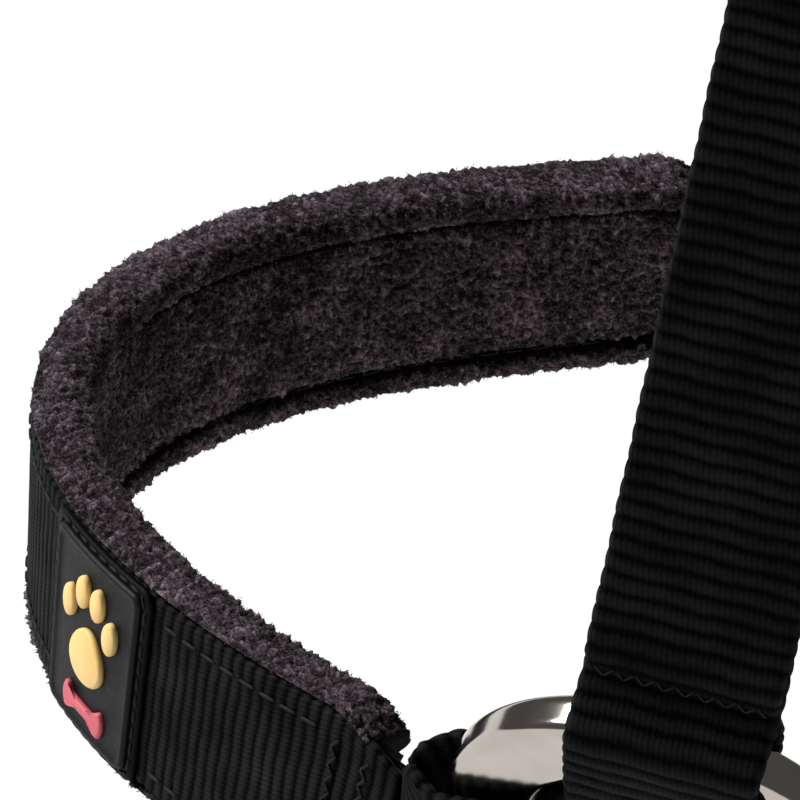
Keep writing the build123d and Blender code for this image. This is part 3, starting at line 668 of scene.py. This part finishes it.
def fleece_pad():
    """Fleece pad with its tufts, shaped from noise of three sizes.

    Returns its points, normals and section for the pile."""
    section = pad_section()
    grid, normal = pad_grid(section)
    n, m = grid.shape[:2]
    flat, nrm = grid.reshape(-1, 3), normal.reshape(-1, 3)
    lump = sum(fleece_noise(flat, scale) * height for scale, height in TUFTS)
    o, u = section[:, 0], np.abs(section[:, 1])
    hidden = np.tile((o > PAD_BACK - HIDDEN_BACK) & (u < WEB_W / 2 + HIDDEN_U), n)
    lump = np.where(hidden, np.minimum(lump, 0) * HIDDEN_TUFT, lump)
    verts = flat + nrm * lump[:, None]
    obj = mesh_object("fleece_pad", verts, tube_faces(n, m))
    # Painted light and shade: lighter where the tufts stand up, darker in their hollows, and sewn adds
    # painted shade along the grooves
    sewn = np.exp(-((u - GROOVE_U) / GROOVE_W) ** 2) * (o < PAD_BACK - 1)
    paint(obj, np.clip(0.4 + lump * 0.95, 0, 1) - np.tile(sewn, n) * 0.9)
    settle(obj, "noseband", "fleece", FLEECE, "noseband_fleece")
    return verts.reshape(n, m, 3), normal, section


def fleece_noise(points, scale):
    """Smooth noise at each point, scale being its waves per mm."""
    return np.array([noise.noise(Vector(p) * scale) for p in points])


def paint(obj, values):
    """Painted shade and light at each vertex, read by the fleece material as its pile attribute."""
    layer = obj.data.attributes.new("pile", "FLOAT", "POINT")
    layer.data.foreach_set("value", np.asarray(values, float))


def fleece_pile(verts, normal, section):
    """Short curling fibres standing on the pad's visible faces, but not in its grooves."""
    o, u = section[:, 0], np.abs(section[:, 1])
    away = np.abs(u - GROOVE_U) > PILE_SKIP
    seen = np.where(away & (o < PAD_BACK - 0.5) | (u > WEB_W / 2 + 0.5))[0]
    i = rng.integers(1, len(verts) - 1, FIBRES)
    j = seen[rng.integers(0, len(seen), FIBRES)]
    jitter = (rng.random((FIBRES, 3)) - 0.5) * FIBRE_JITTER
    root = verts[i, j] + jitter - normal[i, j] * FIBRE_ROOT
    up = unit(normal[i, j] + rng.normal(0, FIBRE_SPREAD, (FIBRES, 3)))
    side = unit(np.cross(up, rng.normal(0, 1, (FIBRES, 3))))
    curl = np.cross(side, up)
    size = rng.uniform(*FIBRE_LEN, (FIBRES, 1))
    wide = side * rng.uniform(*FIBRE_HALF, (FIBRES, 1))
    low, high, tip = (root + up * size * rise + curl * size * bend for rise, bend in FIBRE_CURL)
    points = np.stack([root - wide, root + wide, low - wide, low + wide, high - wide * 0.8,
                       high + wide * 0.8, tip], 1).reshape(-1, 3)
    base = (np.arange(FIBRES) * len(FIBRE_SHADING))[:, None]
    faces = (base + np.array([0, 1, 3, 2])).tolist() + (base + np.array([2, 3, 5, 4])).tolist()
    faces += (base + np.array([4, 5, 6])).tolist()
    obj = mesh_object("fleece_pile", points, faces)
    # Painted shade at each fibre's root and painted light at its tip, times a random tone for each
    # fibre
    glow = rng.uniform(0.35, 1.0, FIBRES)
    paint(obj, np.outer(glow, FIBRE_SHADING).ravel())
    obj.data.materials.append(FLEECE)
    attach(obj, "noseband")


def label_panel():
    """Moulded label: a flange sewn flat, and a raised panel with a low rim and rounded corners."""
    outer, inner = rounded(LABEL, LABEL_R), rounded(PANEL, PANEL_R)
    build_loops("label_flange", [(outer, FLANGE_FOOT), (outer, FLANGE_SIDE),
                                 (shrunk(LABEL, FLANGE_SOFT), FLANGE_EDGE),
                                 (inner, FLANGE_TOP)], SHADED_FLANGE_RUBBER)
    steps = [(shrunk(PANEL, inset), height) for inset, height in PANEL_STEPS]
    obj = build_loops("label_panel", steps, LABEL_RUBBER)
    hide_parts("noseband_label")
    middle = (outer + inner) / 2
    line = even(np.vstack([middle, middle[:1]]), LABEL_STITCH)
    runs = []
    for a, b in zip(line, line[1:]):
        c = a + (b - a) * LABEL_STITCH_PART
        runs.append((band_point(a[0], LABEL_STITCH_LIFT, a[1]),
                     band_point(c[0], LABEL_STITCH_LIFT, c[1])))
    stitches("label_stitching", runs, "noseband")


def build_loops(name, loops, material):
    """Low solid from nested outlines of equal count, each with its height over the webbing."""
    m = len(loops[0][0])
    verts = np.vstack([band_point(p[:, 0], h, p[:, 1]) for p, h in loops])
    faces = grid_faces(len(loops), m)
    faces.append([(len(loops) - 1) * m + k for k in range(m)])
    faces.append(list(range(m))[::-1])
    obj = mesh_object(name, verts, faces)
    return settle(obj, "noseband", "label", material)


def shrunk(box, inset):
    """Outline of the label or its panel, moved in."""
    s1, s2, u1, u2 = box
    return rounded((s1 + inset, s2 - inset, u1 + inset, u2 - inset),
                   max(PANEL_R - inset * 0.5, SHARPEST_R))


def rounded(box, r, arc=7, edge=7):
    """Rounded rectangle as a loop of points, with extra points along its sides."""
    s1, s2, u1, u2 = box
    corners = [(s2 - r, u2 - r, 0), (s1 + r, u2 - r, 90), (s1 + r, u1 + r, 180),
               (s2 - r, u1 + r, 270)]
    pts = []
    for x, y, start in corners:
        for i in range(arc + 1):
            a = math.radians(start + 90 * i / arc)
            pts.append((x + r * math.cos(a), y + r * math.sin(a)))
    out = []
    for k, p in enumerate(pts):
        out.append(p)
        if k % (arc + 1) == arc:
            q = pts[(k + 1) % len(pts)]
            out += [(p[0] + (q[0] - p[0]) * i / edge, p[1] + (q[1] - p[1]) * i / edge)
                    for i in range(1, edge)]
    return np.array(out)


def raised_shape(name, outlines, top, soft, material, slot, node):
    """Flat raised shapes with softened edges, laid on the label."""
    verts, faces = [], []
    rings = [(1.0, MARK_BASE), (1.0, top - soft), (0.965, top - soft * 0.35), (0.9, top)]
    for outline in outlines:
        centre = outline.mean(0)
        start = len(verts)
        m = len(outline)
        for scale, height in rings:
            p = centre + (outline - centre) * scale
            verts += band_point(MARK_S + p[:, 0], height, p[:, 1]).tolist()
        verts.append(band_point(MARK_S + centre[0], top, centre[1]).tolist())
        faces += grid_faces(len(rings), m, start)
        last, middle = start + (len(rings) - 1) * m, start + len(rings) * m
        faces += [[last + k, last + (k + 1) % m, middle] for k in range(m)]
        faces.append([start + k for k in range(m)][::-1])
    obj = mesh_object(name, verts, faces)
    return settle(obj, "noseband", slot, material, node)


def ellipse(cx, cy, rx, ry, count=40, squeeze=0.0):
    """Loop of points round an ellipse; squeeze below 0 narrows its top."""
    a = np.linspace(0, 2 * math.pi, count, endpoint=False)
    wide = 1 + squeeze * np.sin(a)
    return np.stack([cx + rx * np.cos(a) * wide, cy + ry * np.sin(a)], -1)


def bone_outline():
    """Loop of points round a small bone with blunt knobs at its ends."""
    a = np.linspace(0, 2 * math.pi, 120, endpoint=False)
    x = BONE_HALF * np.cos(a)
    tall = BONE_T + KNOB_T * smooth((np.abs(x) - KNOB_FROM) / KNOB_SPAN)
    y = np.sign(np.sin(a)) * tall * np.minimum(1, np.abs(np.sin(a)) * BONE_BLUNT)
    return np.stack([x, y + BONE_U], -1)


def label_marks():
    """Raised paw and bone."""
    paw = [ellipse(0, PAW_U, PAW_R, PAW_R, squeeze=PAW_SQUEEZE)]
    paw += [ellipse(x, y, *TOE_SIZE) for x, y in TOES]
    raised_shape("paw_mark", paw, PAW_TOP, PAW_SOFT, YELLOW, "yellow_print", "label_paw")
    raised_shape("bone_mark", [bone_outline()], BONE_TOP, BONE_SOFT, CORAL, "coral_print",
                 "label_bone")


# ---------------------------------------- rings and straps

def closed_ring(name, place, radius, section, around=160):
    """Ring of a rod with the given (radial, axial) section. place(angle, r, d) gives its points."""
    a = np.linspace(0, 2 * math.pi, around, endpoint=False)[:, None]
    r, d = np.array(section).T
    grid = place(a, radius + r[None, :], d[None, :] + 0 * a)
    n, m = grid.shape[:2]
    i, j = np.arange(n)[:, None], np.arange(m)[None, :]
    k, h = (i + 1) % n, (j + 1) % m
    quads = np.stack([i * m + j, i * m + h, k * m + h, k * m + j], -1)
    return mesh_object(name, grid.reshape(-1, 3), quads.reshape(-1, 4).tolist())


def cheek_rings():
    """Plated rings of flat rod with rounded edges."""
    section = rounded((-RING_A, RING_A, -RING_B, RING_B), RING_EDGE)
    left = closed_ring("cheek_ring_left_plated", ring_point, RING_R, section)
    settle_pair(left, "ring_left", "nickel", NICKEL, "cheek_ring_left")


def strap_centre(k, inward=0.0):
    """Centre of the left cheek strap's straight run, k from 0 at the ring to 1 at the top."""
    foot = ring_point(0, STRAP_FOOT, 0)
    y, z = STRAP_TOP
    y, z = foot[1] + (y - foot[1]) * k + inward, foot[2] + (z - foot[2]) * k
    return np.array([strap_x(z), y, z])


def strap_x(z):
    """Middle of a cheek strap at height z; it leans along its run."""
    foot = ring_point(0, STRAP_FOOT, 0)[2]
    return STRAP_X + LEAN_X * np.clip(z - foot, -STRAP_BELOW, STRAP_TOP[1] - foot)


def loop_line(width, clear, shift=0.0):
    """Centre line of a loop on the rod as (radius, offset) pairs, from its back to its front.

    shift makes it longer, for a strap that isn't in line with the ring's centre."""
    half = width / 2 + shift
    low = math.sqrt((RING_R - RING_A) ** 2 - half ** 2) - clear - WEB_T / 2
    high = RING_R + RING_A + clear + WEB_T / 2
    deep = RING_B + clear + WEB_T / 2
    r = RING_EDGE + clear + WEB_T / 2
    cut = CORNER_CUT * r
    back = [(high - cut, cut - deep), (high - r, -deep), ((high + low) / 2, -deep),
            (low + r, -deep), (low + cut, cut - deep), (low, r - deep), (low, 0)]
    return back + [(v, -d) for v, d in back[-2::-1]]


def cheek_straps():
    """Left strap: sewn end, down behind the rod, up its front, then up and over the neck strap."""
    points = [strap_centre(k, STRAP_END_IN) for k in STRAP_END]
    below, d = STRAP_IN
    points.append(ring_point(0, STRAP_FOOT - below, d))
    points += [ring_point(0, r, d) for r, d in loop_line(STRAP_W, CLEAR, LOOP_SHIFT)]
    below, d = STRAP_OUT
    points.append(ring_point(0, STRAP_FOOT - below, d))
    points += [strap_centre(k, shift) for k, shift in STRAP_BULGE]
    points += [np.array([0, y, z]) for y, z in TUNNEL]
    points = np.array(points)
    points[:, 0] = strap_x(points[:, 2])
    left = strap("cheek_strap_left_web", points, np.tile(X_WAY, (len(points), 1)), STRAP_W,
                 RIB_STRAP, STRAP_RIB_H, 25)
    settle_pair(left, "head_strap", "webbing", STRAP_WEB, "cheek_strap_left")
    runs = bar_tack(strap_centre(CHEEK_TACK, CHEEK_TACK_IN), X_WAY, Z_WAY, CHEEK_TACK_HALF)
    stitches("cheek_stitching", both_sides(runs), "head_strap", "cheek_tacks")


def ring_ways(angle):
    """At a clock angle of the ring: the way out from its centre, and the way along its rod."""
    radial = unit(ring_point(angle, 20, 0) - ring_point(angle, 10, 0))
    normal = unit(ring_point(angle, 20, 1) - ring_point(angle, 20, 0))
    return radial, unit(np.cross(radial, normal))


def band_up(s, o):
    """The way up the noseband at arc length s."""
    return unit(band_point(s, o, 1.0) - band_point(s, o, 0.0))


def ring_tabs():
    """Short webbing from inside the pad, round the rod and back."""
    _, wide_ring = ring_ways(TAB_AT)
    if np.dot(band_up(TAB_RUN[0], TAB_INNER), wide_ring) < 0:
        wide_ring = -wide_ring
    r, d = TAB_LEAVE
    loop = [(r, -d)] + loop_line(TAB_W, CLEAR) + [(r, d)]
    points = [band_point(s, TAB_INNER, 0.0) for s in TAB_RUN]
    points += [ring_point(TAB_AT, r, d) for r, d in loop]
    points += [band_point(s, TAB_OUTER, 0.0) for s in TAB_RUN[::-1]]
    wides = [band_up(s, TAB_INNER) for s in TAB_RUN] + [wide_ring] * len(loop)
    wides += [band_up(s, TAB_OUTER) for s in TAB_RUN[::-1]]
    left = strap("ring_tab_left_web", points, wides, TAB_W, RIB_THIN, TAB_RIB_H, 19)
    settle_pair(left, "noseband", "webbing", THIN_WEB, "ring_tab_left")
    runs = []
    for s, half in TAB_TACKS:
        p = band_point(s, TAB_TACK_LIFT, 0.0)
        ahead = unit(band_point(s + 1, TAB_TACK_LIFT, 0.0) - p)
        runs += bar_tack(p, band_up(s, TAB_TACK_LIFT), ahead, half, LOW_TACK_H)
    stitches("tab_stitching", both_sides(runs), "noseband", "noseband_tacks")


def chin_strap():
    """Chin strap from one cheek ring round under the jaw to the other."""
    radial, wide_ring = ring_ways(CHIN_AT)
    if wide_ring[2] < 0:
        wide_ring = -wide_ring
    points = [ring_point(CHIN_AT, STRAP_FOOT + e, CHIN_END_IN) for e in CHIN_END]
    points += [ring_point(CHIN_AT, r, d) for r, d in loop_line(NECK_W, CHIN_CLEAR)]
    points += [ring_point(CHIN_AT, STRAP_FOOT + e, d) for e, d in CHIN_LEAVE]
    wides = [wide_ring] * len(points)
    for i, p in enumerate(CHIN_LINE):
        k = min((i + 1) / CHIN_TWIST, 1.0)
        points.append(np.array(p))
        wides.append(unit(wide_ring * (1 - k) + Z_WAY * k))
    points = np.vstack([points, points[-2::-1] * FLIP_Y])
    wides = np.vstack([wides, wides[-2::-1] * FLIP_Y])
    obj = strap("chin_strap_web", points, wides, NECK_W, RIB_THIN)
    settle(obj, "chin", "webbing", THIN_WEB, "chin_strap")
    runs = []
    for e in CHIN_TACKS:
        p = ring_point(CHIN_AT, STRAP_FOOT + e, CHIN_TACK_OUT)
        runs += bar_tack(p, wide_ring, radial, CHIN_TACK_HALF)
    stitches("chin_stitching", both_sides(runs), "chin")


def lead_tab():
    """Short webbing sewn over the chin strap, with an eye for the lead ring below it."""
    points = [(CHIN_X + LEAD_X, 0, CHIN_Z + z) for z in LEAD_RUN]
    points += [(CHIN_X + EYE_R * math.cos(a), 0, EYE_Z + EYE_R * math.sin(a)) for a in EYE_ARC]
    points += [(CHIN_X - LEAD_X, 0, CHIN_Z + z) for z in LEAD_RUN[::-1]]
    obj = strap("lead_tab_web", points, np.tile(Y_WAY, (len(points), 1)), LEAD_TAB_W, RIB_THIN,
                LEAD_RIB_H, 15)
    settle(obj, "chin", "webbing", THIN_WEB, "lead_tab")
    runs = []
    for x in (CHIN_X + LEAD_TACK_X, CHIN_X - LEAD_TACK_X):
        for z in LEAD_TACK_Z:
            runs += bar_tack(np.array([x, 0, CHIN_Z + z]), Y_WAY, Z_WAY, LEAD_TACK_HALF,
                             LOW_TACK_H, 9)
    stitches("lead_tab_stitching", runs, "chin", "tab_tacks")


def lead_ring():
    """Round ring that hangs in the tab's eye."""
    def place(a, r, d):
        y, z = r * np.sin(a), EYE_Z - LEAD_R + r * np.cos(a)
        return np.stack(np.broadcast_arrays(CHIN_X + d, y, z), -1)
    section = ellipse(0, 0, LEAD_ROD, LEAD_ROD, 24)
    obj = closed_ring("lead_ring_plated", place, LEAD_R, section, 120)
    settle(obj, "lead", "nickel", NICKEL, "lead_ring")


def neck_points(side, y_throat, inset):
    """Plan line of a neck strap from beside the buckle round to the throat."""
    x1, x2, r = NAPE_X, THROAT_X - inset, NECK_R
    y = side * (NECK_HY - r)
    points = [(x1, side * start) for start in NECK_START]
    points += [(x1 + r - r * math.cos(a), y + side * r * math.sin(a)) for a in NECK_ARC]
    points += [(x2 - r + r * math.sin(a), y + side * r * math.cos(a)) for a in NECK_ARC]
    return points + [(x2, (y + y_throat) / 2), (x2, y_throat)]


def buckle_turn(side):
    """Webbing from its sewn end round the buckle's bar, in plan."""
    points = [(NAPE_X + FOLD_IN, side * y) for y in FOLD_RUN]
    return points + [(BUCKLE_X + x, side * (BAR_Y + y)) for x, y in BAR_TURN]


def neck_straps():
    """Left and right neck strap, each round its buckle bar, and the right one round the slider."""
    left = buckle_turn(-1) + neck_points(-1, LEFT_END, 0.0)
    right = buckle_turn(1) + neck_points(1, RIGHT_END, THROAT_IN)
    right += [(GLIDE_X + x, y) for x, y in GLIDE_TURN]
    for name, line in (("neck_strap_left", left), ("neck_strap_right", right)):
        points = np.array([(x, y, NECK_Z) for x, y in line])
        obj = strap(name + "_web", points, np.tile(Z_WAY, (len(points), 1)), NECK_W, RIB_THIN)
        settle(obj, "head_strap", "webbing", THIN_WEB, name)
    runs = []
    for side in (-1, 1):
        for y in NECK_TACKS:
            centre = np.array([NAPE_X - NECK_TACK_OUT, side * y, NECK_Z])
            runs += bar_tack(centre, Z_WAY, Y_WAY, NECK_TACK_HALF)
    stitches("neck_stitching", runs, "head_strap")


# ---------------------------------------- buckle, slider and keeper

def moulded(node, body, slot, material, bevel=HARD_SOFT):
    """Copy of a CAD piece with softened edges."""
    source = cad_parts[node]
    obj = bpy.data.objects.new(node + "_moulded", source.data.copy())
    obj.matrix_world = source.matrix_world
    bpy.context.scene.collection.objects.link(obj)
    bm = bmesh.new()
    bm.from_mesh(obj.data)
    bmesh.ops.remove_doubles(bm, verts=bm.verts, dist=1e-6)
    bmesh.ops.dissolve_limit(bm, angle_limit=math.radians(FLAT_UNDER), verts=bm.verts,
                             edges=bm.edges)
    bm.to_mesh(obj.data)
    bm.free()
    change = obj.modifiers.new("soften", "BEVEL")
    change.width = bevel * MM
    change.segments = SOFT_STEPS
    change.limit_method = "ANGLE"
    change.angle_limit = math.radians(SOFT_OVER)
    softened = obj.evaluated_get(bpy.context.evaluated_depsgraph_get())
    ready = bpy.data.meshes.new_from_object(softened)
    obj.modifiers.clear()
    obj.data = ready
    obj.data.shade_smooth()
    obj.data.set_sharp_from_angle(angle=math.radians(SHARP_OVER))
    settle(obj, body, slot, material, node)


def hard_parts():
    """Buckle, slider and keeper."""
    moulded("buckle_female", "head_strap", "buckle_plastic", PLASTIC)
    moulded("buckle_male", "head_strap", "buckle_plastic", PLASTIC)
    moulded("buckle_prong_upper", "prong_upper", "buckle_plastic", PLASTIC, PRONG_SOFT)
    moulded("buckle_prong_lower", "prong_lower", "buckle_plastic", PLASTIC, PRONG_SOFT)
    moulded("tri_glide", "head_strap", "nickel", NICKEL, THIN_SOFT)
    moulded("strap_keeper", "keeper", "keeper_rubber", KEEPER, THIN_SOFT)


# ---------------------------------------- stage

def build_stage():
    """Pale floor below the halter."""
    z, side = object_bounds()[0].z - FLOOR_DROP, FLOOR_HALF
    corners = [(-side, -side, z), (side, -side, z), (side, side, z), (-side, side, z)]
    mesh = bpy.data.meshes.new("floor")
    mesh.from_pydata(corners, [], [(0, 1, 2, 3)])
    floor = bpy.data.objects.new("floor", mesh)
    bpy.context.scene.collection.objects.link(floor)
    pale = Nodes("pale_floor")
    patch = pale.noise(pale.add("ShaderNodeTexCoord").outputs["Object"], 3, 2)
    pale.link(pale.ramp(patch, [(0, (0.93, 0.93, 0.93)), (1, (0.97, 0.97, 0.97))]), "Base Color")
    pale.set(Roughness=0.9)
    floor.data.materials.append(pale.material)


def build_light():
    """Soft key from the bridge's side and above, like a large softbox, in a dim pale room."""
    world = bpy.data.worlds.new("studio")
    world.use_nodes = True
    background = world.node_tree.nodes["Background"]
    background.inputs["Color"].default_value = (1, 1, 1, 1)
    background.inputs["Strength"].default_value = ROOM_LIGHT
    bpy.context.scene.world = world
    data = bpy.data.lights.new("key", "SUN")
    data.energy = KEY_LIGHT
    data.angle = math.radians(KEY_WIDTH)
    key = bpy.data.objects.new("key", data)
    key.rotation_euler = Vector(KEY_WAY).to_track_quat("-Z", "Y").to_euler()
    bpy.context.scene.collection.objects.link(key)
    bpy.context.scene.view_settings.view_transform = "Standard"


def build_camera():
    """Long lens from the dog's left and above, turned a little about its own axis."""
    data = bpy.data.cameras.new("camera")
    data.lens = CAMERA_LENS
    data.clip_start = 0.05
    camera = bpy.data.objects.new("camera", data)
    a, e = math.radians(CAMERA_AZIMUTH), math.radians(CAMERA_ELEVATION)
    look = Vector((-math.sin(a) * math.cos(e), math.cos(a) * math.cos(e), -math.sin(e)))
    camera.location = Vector(CAMERA_AIM) - look * CAMERA_DISTANCE
    turn = look.to_track_quat("-Z", "Y").to_matrix()
    roll = Matrix.Rotation(math.radians(CAMERA_ROLL), 3, "Z")
    camera.rotation_euler = (turn @ roll).to_euler()
    bpy.context.scene.collection.objects.link(camera)
    bpy.context.scene.camera = camera


pad_foam()
noseband_webbing()
fleece_pile(*fleece_pad())
label_panel()
label_marks()
cheek_rings()
cheek_straps()
ring_tabs()
chin_strap()
lead_tab()
lead_ring()
neck_straps()
hard_parts()
build_stage()
build_light()
build_camera()
